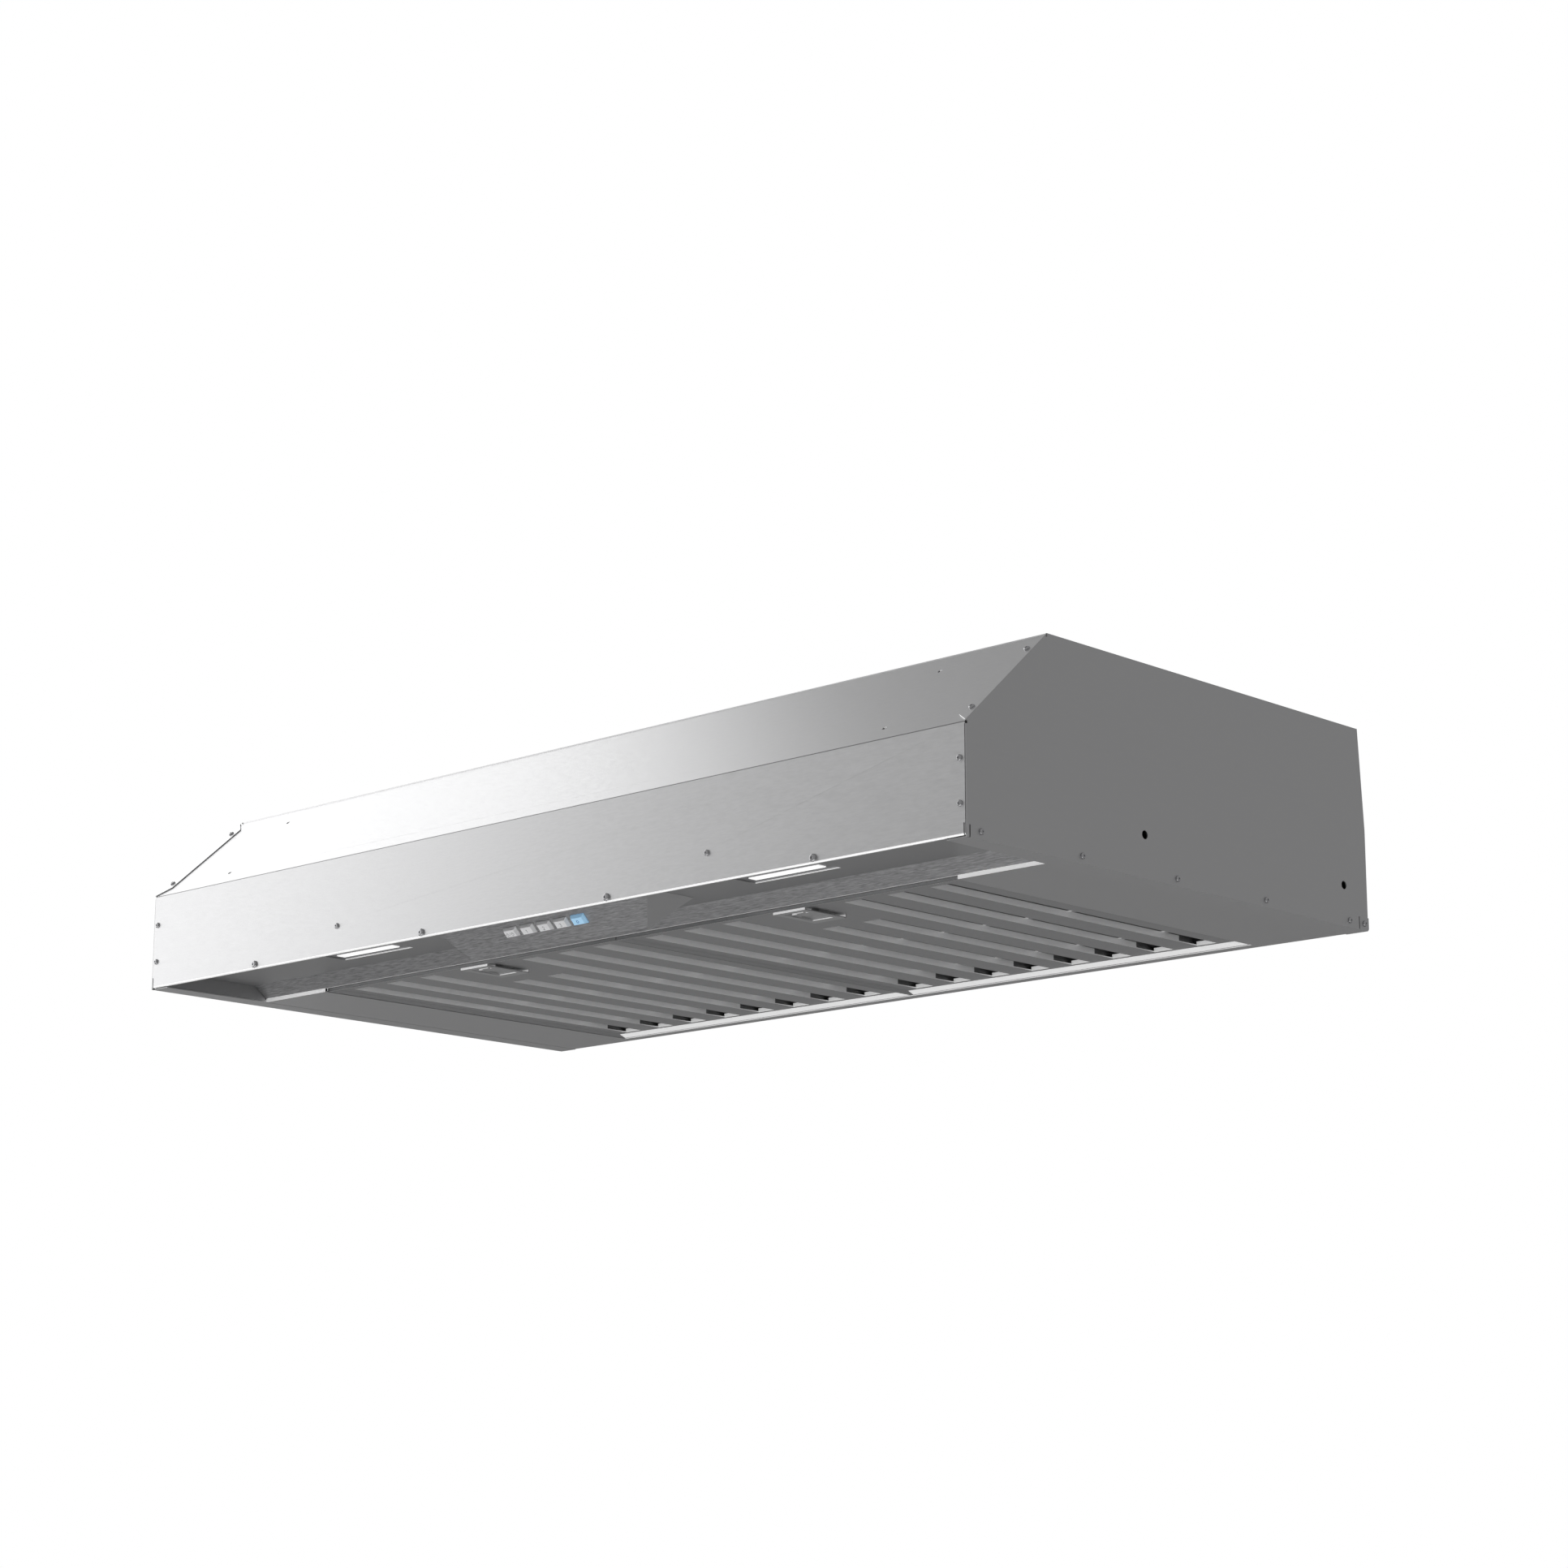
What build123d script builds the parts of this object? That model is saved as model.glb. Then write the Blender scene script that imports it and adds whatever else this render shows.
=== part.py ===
from build123d import *
import math
import os

# Under cabinet range hood, 36 in class. Millimetres.
# The drawing frame has x = 0 on the centre line, y = 0 on the front face and z = 0 on the rim.
# Every node is moved at export so that the part's own origin is the centre of the four mounting
# holes, on the top panel's outer face.

# ---- driving dimensions -------------------------------------------------------------------
WIDTH = 911.0               # outside of the side panels
DEPTH = 476.2               # front face to back panel
HEIGHT = 159.8              # rim to top panel
FACE_HEIGHT = 80.0          # vertical front face, below the slope
SLOPE_RUN = 90.3            # how far back the slope reaches
SHEET = 1.0                 # sheet metal thickness
GAP = 0.1                   # air between sheets that lie face to face

HALF = WIDTH / 2
INNER_HALF = HALF - SHEET - GAP         # half width of what sits between the side panels
REAR_KNEE = 79.2                        # height where the back starts to lean forward
REAR_TOP_Y = 470.6                      # back edge of the top
SLOPE_RATIO = (HEIGHT - FACE_HEIGHT) / SLOPE_RUN
SLOPE_ANGLE = math.degrees(math.atan(SLOPE_RATIO))

FLANGE = 19.5               # inward flange under each side panel
LAP = 12.5                  # flange of the side panel that laps the slope
PAN_FRONT = 107.6           # front edge of the pan
FILTER_REAR = 463.2         # front edge of the pan's rear ledge
OPENING_HALF = 355.2        # half width of the filter opening

CHANNEL_HALF = 435.5        # half length of the light channel
CHANNEL_Z = 13.0            # height of its ceiling
RAIL_TOP_Y = 93.5
RAIL_FOOT_Y = 107.2
RAIL_FOOT_Z = 3.2

MOUNT_X = 660.0             # spacing of the mounting holes in the top panel
MOUNT_Y = 300.0
MOUNT_CENTRE_Y = 280.5
MOUNT_R = 3.5
SIDE_HOLE_R = 3.25          # fixing holes through the side panels
SIDE_HOLES_Y = (196.7, 445.4)
SIDE_HOLE_Z = 32.0
SLOPE_HOLE_X = 370.0
SLOPE_HOLES_Y = (13.2, 73.0)

SMALL_HEAD_R = 2.3          # small screw: head radius, head height, shank radius, shank length
SMALL_HEAD_H = 1.5
SMALL_SHANK_R = 1.4
SHANK_LENGTH = 4.5
LARGE_HEAD_R = 3.0
LARGE_HEAD_H = 1.9
LARGE_SHANK_R = 1.9
HOLE_SLACK = 0.15

LAMP_X = 236.5              # centre of each lamp
LAMP_CUT = (86.0, 48.0)     # recess in the channel ceiling
LAMP_CUT_Y = 43.0
LENS_SIZE = (70.0, 8.0)
LENS_Y = 55.5

HOUSING_HALF = 122.5        # control housing: an upturned hip roof with faces at 45 degrees
HOUSING_FRONT = 24.5
HOUSING_REAR = 73.5
HOUSING_DROP = (HOUSING_REAR - HOUSING_FRONT) / 2
BUTTON_PITCH = 19.1
BUTTON_DOWN = 15.15         # distance of the button row below the housing's top edge
BUTTON_BASE = (14.2, 8.6)   # foot of the tapering crown
BUTTON_TOP = (11.3, 6.0)
BUTTON_RISE = 3.0
BUTTON_SLOT = (15.0, 9.3)
BUTTON_TRAVEL = 1.2
BUTTON_NAMES = ("button_power", "button_speed_1", "button_speed_2", "button_speed_3",
                "button_light")

FILTER_WIDTH = 354.2
FILTER_CENTRE_X = 177.5
FILTER_FRONT = 110.2
FILTER_BACK = 462.5
FILTER_RIM_Z = 0.6
FILTER_FACE_Z = 2.5
FILTER_TOP_Z = 18.6
FACE_SHEET = 0.8
DISH = 10.0                 # width of the sloping margin at the rear
DISH_SIDE = 3.0             # and at the sides and front
SLOT_PITCH = 42.3
SLOT_WIDTH = 18.6
SLOT_WALL = 4.95            # height of the walls beside the slots
SLOT_WALL_END = 24.0        # how far the walls stop short of the slot's rear end
TIE_PLACES = (289.0, 405.0)
SLOT_REAR = 447.0
SLOT_LONG_FRONT = 125.0
SLOT_SHORT_FRONT = 192.0
SLOTS = 8
SLOT_SHIFT = -2.2           # the slots sit off centre in the filter

LATCH_X = FILTER_CENTRE_X + 4.4
LATCH_SIZE = (32.7, 46.0)
LATCH_FRONT = 115.3
LATCH_DROP = 2.7
POCKET_HALF = 10.5          # finger pocket in the latch housing
POCKET_Y = (121.0, 153.0)

BLOWER_Y = 330.0            # blower axis
BLOWER_Z = 89.5
SCROLL_HALF = 127.0
SCROLL_START = 54.5         # scroll radius at the tongue
SCROLL_END = 68.0           # and at the outlet
TONGUE_ANGLE = 80.0
WHEEL_R = 51.5
WHEEL_WIDTH = 56.0
WHEEL_FAR = 121.0
BLADES = 32
THROAT = 78.5               # depth of the scroll's outlet
SHAFT_R = 4.0
RUNNING = 0.05              # radial running clearance

DUCT_SIZE = (254.0, 82.5)   # outside of the rectangular duct collar
DUCT_HEIGHT = 36.0
DUCT_Y = BLOWER_Y + SCROLL_END - THROAT / 2
CABLE_X = 360.0
CABLE_Y = 430.0
CABLE_BORE_R = 8.0


# ---- helpers ------------------------------------------------------------------------------
def box(x0, x1, y0, y1, z0, z1):
    """A block between two corners."""
    size = Box(x1 - x0, y1 - y0, z1 - z0, align=(Align.MIN, Align.MIN, Align.MIN))
    return Pos(x0, y0, z0) * size


def yz_prism(points, x0, x1):
    """A prism along x with its outline drawn in (y, z)."""
    outline = make_face(Polyline(*points, close=True))
    plane = Plane(origin=(x0, 0, 0), x_dir=(0, 1, 0), z_dir=(1, 0, 0))
    return extrude(plane * outline, amount=x1 - x0)


def xz_prism(points, y0, y1):
    """A prism along y with its outline drawn in (x, z)."""
    outline = make_face(Polyline(*points, close=True))
    plane = Plane(origin=(0, y1, 0), x_dir=(1, 0, 0), z_dir=(0, -1, 0))
    return extrude(plane * outline, amount=y1 - y0)


def beside(points, distance):
    """The polyline moved to its left by distance, with mitred corners."""
    steps = [(b[0] - a[0], b[1] - a[1]) for a, b in zip(points, points[1:])]
    normals = [(-v / math.hypot(u, v), u / math.hypot(u, v)) for u, v in steps]
    moved = []
    for i, (u, v) in enumerate(points):
        before = normals[max(i - 1, 0)]
        after = normals[min(i, len(normals) - 1)]
        scale = distance / (1 + before[0] * after[0] + before[1] * after[1])
        moved.append((u + (before[0] + after[0]) * scale, v + (before[1] + after[1]) * scale))
    return moved


def bent_sheet(points, side, x0, x1):
    """Folded sheet along x: its outline in (y, z) has one sheet thickness, to the left if side > 0."""
    other = beside(points, math.copysign(SHEET, side))
    return yz_prism(points + other[::-1], x0, x1)


def mirror_x(shape):
    return mirror(shape, about=Plane.YZ)


def rod(start, direction, radius, length):
    """A cylinder from a point, along a direction."""
    plane = Plane(origin=start, z_dir=direction)
    return plane * Cylinder(radius, length, align=(Align.CENTER, Align.CENTER, Align.MIN))


def slope_point(x, y, lift=0.0):
    """A point on the slope's outer face, or lift above it."""
    angle = math.radians(SLOPE_ANGLE)
    return (x, y - lift * math.sin(angle), FACE_HEIGHT + y * SLOPE_RATIO + lift * math.cos(angle))


# ---- where the fasteners go: (point on the surface, outward direction) ----------------------
FRONT = (0, -1, 0)
LEFT = (-1, 0, 0)
RIGHT = (1, 0, 0)
UP = (0, 0, 1)
BACK = (0, 1, 0)
SLOPE_OUT = (0, -math.sin(math.radians(SLOPE_ANGLE)), math.cos(math.radians(SLOPE_ANGLE)))
LAP_LIFT = 0.9              # outer face of the lapping flange above the slope

EDGE_SCREWS = [((x, 0, z), FRONT) for x in (-450.0, 450.0) for z in (23.5, 55.1)]
BRACE_SCREWS = [((x, 0, 23.75), FRONT) for x in (-209.3, 209.3)]
CHANNEL_SCREWS = [((x, 0, 5.05), FRONT) for x in (-314.4, -104.8, 104.8, 314.4)]
SIDE_SCREW_Y = (15.5, 124.9, 234.4, 343.2, 452.0, 471.7)
SIDE_SCREWS = [((s * HALF, y, 5.5), (s, 0, 0)) for s in (-1, 1) for y in SIDE_SCREW_Y]
SLOPE_SCREWS = [(slope_point(x, y, LAP_LIFT), SLOPE_OUT) for x in (-449.8, 449.8)
                for y in (14.3, 74.4)]
TOP_SCREWS = [((s * 445.0, y, HEIGHT), UP) for s in (-1, 1) for y in (130.0, 280.0, 430.0)]
TOP_SCREWS += [((x, y, HEIGHT), UP) for x in (-300.0, 0.0, 300.0) for y in (98.0, 462.0)]
REAR_SCREWS = [((s * 447.0, DEPTH, z), BACK) for s in (-1, 1) for z in (25.0, 60.0)]
REAR_SCREWS += [((x, DEPTH, 6.0), BACK) for x in (-300.0, -100.0, 100.0, 300.0)]
COLLAR_RIM_Z = HEIGHT + GAP + SHEET
COLLAR_SCREWS = [((x, DUCT_Y + s * (DUCT_SIZE[1] / 2 + 6.0), COLLAR_RIM_Z), UP)
                 for x in (-100.0, 0.0, 100.0) for s in (-1, 1)]


def screws(places, head_r, head_h, shank_r, washer=0.0):
    """Pan head screws: a domed head on the surface and a shank through it."""
    made = []
    for point, out in places:
        inward = tuple(-c for c in out)
        head = rod((0, 0, 0), (0, 0, 1), head_r, head_h)
        head = fillet(head.edges().group_by(Axis.Z)[-1], head_h * 0.7)
        socket = rod((0, 0, head_h - 0.6), (0, 0, 1), head_r * 0.38, 1.0)
        head = Plane(origin=point, z_dir=out) * (head - socket)
        made.append(head + rod(point, inward, shank_r, SHANK_LENGTH + washer))
    return made


def drill(shape, places, shank_r):
    """Clearance holes for the screws, through every sheet they cross."""
    for point, out in places:
        inward = tuple(-c for c in out)
        start = tuple(p + c for p, c in zip(point, out))
        shape -= rod(start, inward, shank_r + HOLE_SLACK, SHANK_LENGTH + 2.0)
    return shape


# ---- outer shell --------------------------------------------------------------------------
def side_panel_right():
    """Side panel with its rim flange, the flange behind the front and the lap on the slope."""
    x0, x1 = HALF - SHEET, HALF
    lap_y = -LAP_LIFT * math.sin(math.radians(SLOPE_ANGLE))
    lap_z = FACE_HEIGHT + LAP_LIFT * math.cos(math.radians(SLOPE_ANGLE))
    front_y = 0.4
    tab_y, tab_z = DEPTH + 1.2, 10.4
    outline = [(front_y, 0), (tab_y, 0), (tab_y, tab_z), (DEPTH, tab_z), (DEPTH, REAR_KNEE),
               (REAR_TOP_Y, HEIGHT), (lap_y + (HEIGHT - lap_z) / SLOPE_RATIO, HEIGHT),
               (front_y, lap_z + (front_y - lap_y) * SLOPE_RATIO)]
    panel = yz_prism(outline, x0, x1)
    corner = panel.edges().filter_by(Axis.X).sort_by(Axis.Y)[-2:].sort_by(Axis.Z)[0]
    panel = fillet(corner, 2.5)

    rim = box(HALF - FLANGE, HALF, 2.2, DEPTH - 0.4, 0, SHEET)
    behind_front = box(HALF - 14.0, HALF, SHEET + GAP, 2 * SHEET + GAP, 12.5, 77.0)
    behind_rear = box(HALF - 14.0, HALF, DEPTH - 2 * SHEET - GAP, DEPTH - SHEET - GAP, 13.0, 74.0)
    under_top = box(HALF - 16.0, HALF, 112.0, 452.0, HEIGHT - 2 * SHEET - GAP,
                    HEIGHT - SHEET - GAP)
    panel += rim + behind_front + behind_rear + under_top

    lap = make_face(Polyline((HALF, 0.8), (HALF - LAP, 11.5), (HALF - LAP, 105.0),
                             (HALF, 117.0), close=True))
    plane = Plane(origin=slope_point(0, 0, GAP), x_dir=(1, 0, 0), z_dir=SLOPE_OUT)
    panel += extrude(plane * lap, amount=LAP_LIFT - GAP)

    front_relief = box(x0 - 1, x1 + 1, 3.0, 4.2, -1, 8.6)
    rear_relief = box(x0 - 1, x1 + 1, 464.2, 465.2, 0.6, 10.2)
    apex_relief = rod((x0 - 1, 88.5, 158.2), RIGHT, 1.2, 4)
    knee_relief = rod((x0 - 1, 0.9, 79.6), RIGHT, 1.2, 4)
    panel -= front_relief + rear_relief + apex_relief + knee_relief
    for y in SIDE_HOLES_Y:
        panel -= rod((x0 - 1, y, SIDE_HOLE_Z), RIGHT, SIDE_HOLE_R, 4)

    panel = drill(panel, [s for s in EDGE_SCREWS if s[0][0] > 0], SMALL_SHANK_R)
    panel = drill(panel, [s for s in SIDE_SCREWS if s[0][0] > 0], SMALL_SHANK_R)
    panel = drill(panel, [s for s in SLOPE_SCREWS if s[0][0] > 0], SMALL_SHANK_R)
    panel = drill(panel, [s for s in TOP_SCREWS if s[0][0] > 400], SMALL_SHANK_R)
    return drill(panel, [s for s in REAR_SCREWS if s[0][0] > 400], SMALL_SHANK_R)


def front_panel():
    """One folded sheet: lip, vertical face, slope and the flange under the top panel."""
    flange_z = HEIGHT - SHEET - GAP
    slope_end = (flange_z - FACE_HEIGHT) / SLOPE_RATIO
    outside = [(2.6, SHEET + GAP), (0, SHEET + GAP), (0, FACE_HEIGHT), (slope_end, flange_z),
               (slope_end + 17.0, flange_z)]
    panel = bent_sheet(outside, -1, -INNER_HALF, INNER_HALF)
    bend = panel.edges().filter_by(Axis.X).sort_by(lambda e: e.center().Y + e.center().Z)[0]
    panel = fillet(bend, 1.3)
    for s in (-1, 1):
        hem_end = box(*sorted((s * (HALF - FLANGE - 1.0), s * HALF)), SHEET, 20.0, 0, 4.0)
        relief = box(*sorted((s * (INNER_HALF - 1.4), s * (INNER_HALF - 0.5))), -1, 3, 0, 9.7)
        panel -= hem_end + relief
        for y in SLOPE_HOLES_Y:
            point = slope_point(s * SLOPE_HOLE_X, y, 2.0)
            panel -= rod(point, tuple(-c for c in SLOPE_OUT), 1.8, 6)
    panel = drill(panel, EDGE_SCREWS + BRACE_SCREWS + SLOPE_SCREWS, SMALL_SHANK_R)
    panel = drill(panel, [s for s in TOP_SCREWS if s[0][1] < 110], SMALL_SHANK_R)
    return drill(panel, CHANNEL_SCREWS, LARGE_SHANK_R)


def top_panel():
    """Flat sheet with the mounting holes, the duct outlet and the cable knock-out."""
    front = SLOPE_RUN - 1.0
    panel = box(-INNER_HALF, INNER_HALF, front, REAR_TOP_Y - 0.2, HEIGHT - SHEET, HEIGHT)
    for sx in (-1, 1):
        for sy in (-1, 1):
            hole = (sx * MOUNT_X / 2, MOUNT_CENTRE_Y + sy * MOUNT_Y / 2, HEIGHT - 3)
            panel -= rod(hole, UP, MOUNT_R, 6)
    outlet_x, outlet_y = DUCT_SIZE[0] / 2 - 2.0, THROAT / 2
    panel -= box(-outlet_x, outlet_x, DUCT_Y - outlet_y, DUCT_Y + outlet_y, HEIGHT - 3, HEIGHT + 3)
    panel -= rod((CABLE_X, CABLE_Y, HEIGHT - 3), UP, 11.1, 6)
    panel = drill(panel, TOP_SCREWS, SMALL_SHANK_R)
    return drill(panel, COLLAR_SCREWS, SMALL_SHANK_R)


def rear_panel():
    """Back sheet, leaning forward above the knee, with a flange under the top panel."""
    flange_z = HEIGHT - SHEET - GAP
    outside = [(DEPTH, SHEET + GAP), (DEPTH, REAR_KNEE), (REAR_TOP_Y, flange_z),
               (REAR_TOP_Y - 17.0, flange_z)]
    panel = bent_sheet(outside, 1, -INNER_HALF, INNER_HALF)
    panel = drill(panel, REAR_SCREWS, SMALL_SHANK_R)
    return drill(panel, [s for s in TOP_SCREWS if s[0][1] > 450], SMALL_SHANK_R)


# ---- underside ----------------------------------------------------------------------------
def bottom_pan():
    """Underside sheet: two side wings and the ledge that carries the rear of the filters."""
    z0 = 0.1
    back = DEPTH - 2 * SHEET - GAP
    wing_edge = HALF - FLANGE - 0.3
    wing = box(OPENING_HALF, wing_edge, PAN_FRONT, back, z0, z0 + SHEET)
    wing += box(wing_edge - SHEET, INNER_HALF, PAN_FRONT, back, SHEET + GAP, 2 * SHEET + GAP)
    wing += box(INNER_HALF - SHEET, INNER_HALF, PAN_FRONT, back, SHEET + GAP, 11.0)
    wing += box(OPENING_HALF, wing_edge, PAN_FRONT, PAN_FRONT + SHEET, z0, RAIL_FOOT_Z - GAP)
    wing += box(OPENING_HALF, OPENING_HALF + SHEET, PAN_FRONT + 3, back, z0, 14.0)
    pan = wing + mirror_x(wing)
    pan += box(-wing_edge, wing_edge, FILTER_REAR, back, z0, z0 + SHEET)
    pan += box(-wing_edge, wing_edge, back - SHEET, back, z0, 12.0)
    pan = drill(pan, SIDE_SCREWS, SMALL_SHANK_R)
    return drill(pan, [s for s in REAR_SCREWS if s[0][2] < 10], SMALL_SHANK_R)


def rail_run():
    """Distance the rail runs back for each millimetre that it drops."""
    return (RAIL_FOOT_Y - RAIL_TOP_Y) / (CHANNEL_Z - RAIL_FOOT_Z)


def light_channel():
    """Recess behind the front lip: front flange and ceiling, open below."""
    front_y = SHEET + GAP
    foot_z = 2 * SHEET + 2 * GAP
    end_y = RAIL_TOP_Y - 0.15
    folded = [(front_y, foot_z), (front_y, CHANNEL_Z + SHEET),
              (end_y - SHEET * rail_run(), CHANNEL_Z + SHEET), (end_y, CHANNEL_Z),
              (front_y + SHEET, CHANNEL_Z), (front_y + SHEET, foot_z)]
    channel = yz_prism(folded, -CHANNEL_HALF, CHANNEL_HALF)
    for s in (-1, 1):
        channel -= Pos(s * LAMP_X, LAMP_CUT_Y, CHANNEL_Z) * Box(*LAMP_CUT, 6)
    inset = 5.0
    channel -= box(-HOUSING_HALF + inset, HOUSING_HALF - inset, HOUSING_FRONT + inset,
                   HOUSING_REAR - inset, CHANNEL_Z - 2, CHANNEL_Z + 3)
    return drill(channel, CHANNEL_SCREWS, LARGE_SHANK_R)


def channel_ends():
    """Two plates that close the ends of the recess, from the lip back to the rail's foot."""
    front_y = 2.75
    bottom = 1.2
    outline = [(front_y, bottom), (front_y, CHANNEL_Z + SHEET),
               (RAIL_TOP_Y - 0.15 - SHEET * rail_run(), CHANNEL_Z + SHEET),
               (RAIL_FOOT_Y - 0.8, RAIL_FOOT_Z + 0.4), (RAIL_FOOT_Y - 0.8, bottom)]
    plate = yz_prism(outline, CHANNEL_HALF + GAP, CHANNEL_HALF + GAP + SHEET)
    return [plate, mirror_x(plate)]


def front_rail():
    """Brushed rail behind the light channel, with the strike that the filter latches reach."""
    top_z = CHANNEL_Z + SHEET + GAP
    ratio = (CHANNEL_Z - RAIL_FOOT_Z) / (RAIL_FOOT_Y - RAIL_TOP_Y)
    bend_y = RAIL_TOP_Y - (top_z - CHANNEL_Z) / ratio
    strike_y = RAIL_FOOT_Y + 2.0
    face = [(80.0, top_z), (bend_y, top_z), (RAIL_FOOT_Y, RAIL_FOOT_Z),
            (strike_y, RAIL_FOOT_Z), (strike_y, 24.0)]
    rail = bent_sheet(face, 1, -CHANNEL_HALF + GAP, CHANNEL_HALF - GAP)
    for x in (LATCH_X, LATCH_X - 2 * FILTER_CENTRE_X):
        rail -= box(x - 9, x + 9, strike_y - 1.5, strike_y + 1, 6.0, 11.0)
    return rail


# ---- lamps --------------------------------------------------------------------------------
def lamp_body(x):
    """Shallow tray above the recess, with a frame round the lens."""
    z0 = CHANNEL_Z + SHEET + GAP
    width, depth = LAMP_CUT[0] + 12, LAMP_CUT[1] + 4
    body = box(x - width / 2, x + width / 2, LAMP_CUT_Y - depth / 2, LAMP_CUT_Y + depth / 2,
               z0, z0 + 9.0)
    body = fillet(body.edges().filter_by(Axis.Z), 4.0)
    body = fillet(body.faces().sort_by(Axis.Z)[-1].edges(), 1.5)
    lens_w, lens_d = LENS_SIZE
    pocket = Pos(x, LENS_Y, z0) * Box(lens_w + 0.4, lens_d + 0.4, 10.0)
    return body - pocket


def lamp_lens(x):
    """Frosted lens standing a little below its tray."""
    z0 = CHANNEL_Z + 0.3
    lens_w, lens_d = LENS_SIZE
    lens = box(x - lens_w / 2, x + lens_w / 2, LENS_Y - lens_d / 2, LENS_Y + lens_d / 2,
               z0, z0 + 4.0)
    return fillet(lens.faces().sort_by(Axis.Z)[0].edges(), 0.4)


# ---- controls -----------------------------------------------------------------------------
HOUSING_SLOPE = Plane(origin=(0, HOUSING_FRONT, CHANNEL_Z - GAP), x_dir=(1, 0, 0),
                      z_dir=(0, -1, -1))      # local y runs up the sloping front


def hip_solid(inset):
    """The hip roof shape, pulled in on every sloping face by inset."""
    shift = inset * math.sqrt(2)
    top, drop = CHANNEL_Z - GAP, HOUSING_DROP
    middle = (HOUSING_FRONT + HOUSING_REAR) / 2
    across = yz_prism([(middle - drop + shift, top), (middle + drop - shift, top),
                       (middle, top - drop + shift)], -HOUSING_HALF, HOUSING_HALF)
    wide = HOUSING_HALF - shift
    along = xz_prism([(-wide, top), (wide, top), (wide - drop, top - drop),
                      (-wide + drop, top - drop)], HOUSING_FRONT, HOUSING_REAR)
    return across & along


def button_x(index):
    return (index - (len(BUTTON_NAMES) - 1) / 2) * BUTTON_PITCH


def control_housing():
    """Hollow hip-shaped housing with five slots in its sloping front and fixing ears inside."""
    shell = hip_solid(0)
    ridge = shell.edges().filter_by(Axis.X).sort_by(Axis.Z)[0]
    shell = fillet(ridge, 1.5) - hip_solid(SHEET)
    for index in range(len(BUTTON_NAMES)):
        slot = Box(*BUTTON_SLOT, 8)
        shell -= HOUSING_SLOPE * Pos(button_x(index), -BUTTON_DOWN, 0) * slot
    top = CHANNEL_Z - GAP
    for s in (-1, 1):
        ear = box(*sorted((s * (HOUSING_HALF - 6), s * (HOUSING_HALF - 1.2))), 40, 58,
                  top - SHEET, top)
        shell += ear
    return shell


SWITCH_TOP = -9.4           # switches start here, behind the housing's front


def button(index):
    """Button cap: tapering crown, skirt through the slot, retaining flange and stem."""
    skirt_foot = -SHEET - 0.3
    foot = Pos(0, 0, 0.4) * Rectangle(*BUTTON_BASE)
    top = Pos(0, 0, BUTTON_RISE) * Rectangle(*BUTTON_TOP)
    crown = loft([foot, top])
    crown = fillet(crown.faces().sort_by(Axis.Z)[-1].edges(), 0.4)
    skirt = extrude(Pos(0, 0, skirt_foot) * Rectangle(*BUTTON_BASE), amount=0.4 - skirt_foot)
    flange = Pos(0, 0, skirt_foot) * Box(BUTTON_SLOT[0] + 1.6, BUTTON_SLOT[1] + 1.6, 1.0,
                                         align=(Align.CENTER, Align.CENTER, Align.MAX))
    length = skirt_foot - SWITCH_TOP - BUTTON_TRAVEL - GAP
    stem = Pos(0, 0, skirt_foot) * Cylinder(2.0, length,
                                            align=(Align.CENTER, Align.CENTER, Align.MAX))
    return HOUSING_SLOPE * Pos(button_x(index), -BUTTON_DOWN, 0) * (crown + skirt + flange + stem)


def switch_board():
    """Circuit board behind the buttons, parallel to them, on two feet."""
    board = Pos(0, -BUTTON_DOWN, SWITCH_TOP - 4.0) * Box(
        104, 17, 1.6, align=(Align.CENTER, Align.CENTER, Align.MAX))
    feet = [Pos(s * 49, -BUTTON_DOWN, -SHEET - GAP) * Box(
        4, 9, -SWITCH_TOP + 4.0 - SHEET - GAP, align=(Align.CENTER, Align.CENTER, Align.MAX))
        for s in (-1, 1)]
    return HOUSING_SLOPE * (board + feet[0] + feet[1])


def switches():
    """Five tactile switches on the board."""
    made = []
    for index in range(len(BUTTON_NAMES)):
        body = Pos(0, 0, SWITCH_TOP - 4.0) * Box(
            7.0, 7.0, 3.4, align=(Align.CENTER, Align.CENTER, Align.MIN))
        plunger = Pos(0, 0, SWITCH_TOP - 0.6) * Cylinder(
            1.6, 0.6, align=(Align.CENTER, Align.CENTER, Align.MIN))
        made.append(HOUSING_SLOPE * Pos(button_x(index), -BUTTON_DOWN, 0) * (body + plunger))
    return made


# ---- filters (drawn for the right-hand filter, then placed) ---------------------------------
def rectangle_at(half_x, y0, y1, z):
    centre = (FILTER_CENTRE_X, (y0 + y1) / 2, z)
    return Pos(*centre) * Rectangle(2 * half_x, y1 - y0)


def slot_places():
    """Centre, front end and rear end of each slot; the two middle ones stop behind the latch."""
    places = []
    for i in range(SLOTS):
        x = FILTER_CENTRE_X + SLOT_SHIFT + (i - (SLOTS - 1) / 2) * SLOT_PITCH
        short = i in (SLOTS // 2 - 1, SLOTS // 2)
        places.append((x, SLOT_SHORT_FRONT if short else SLOT_LONG_FRONT, SLOT_REAR))
    return places


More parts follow.
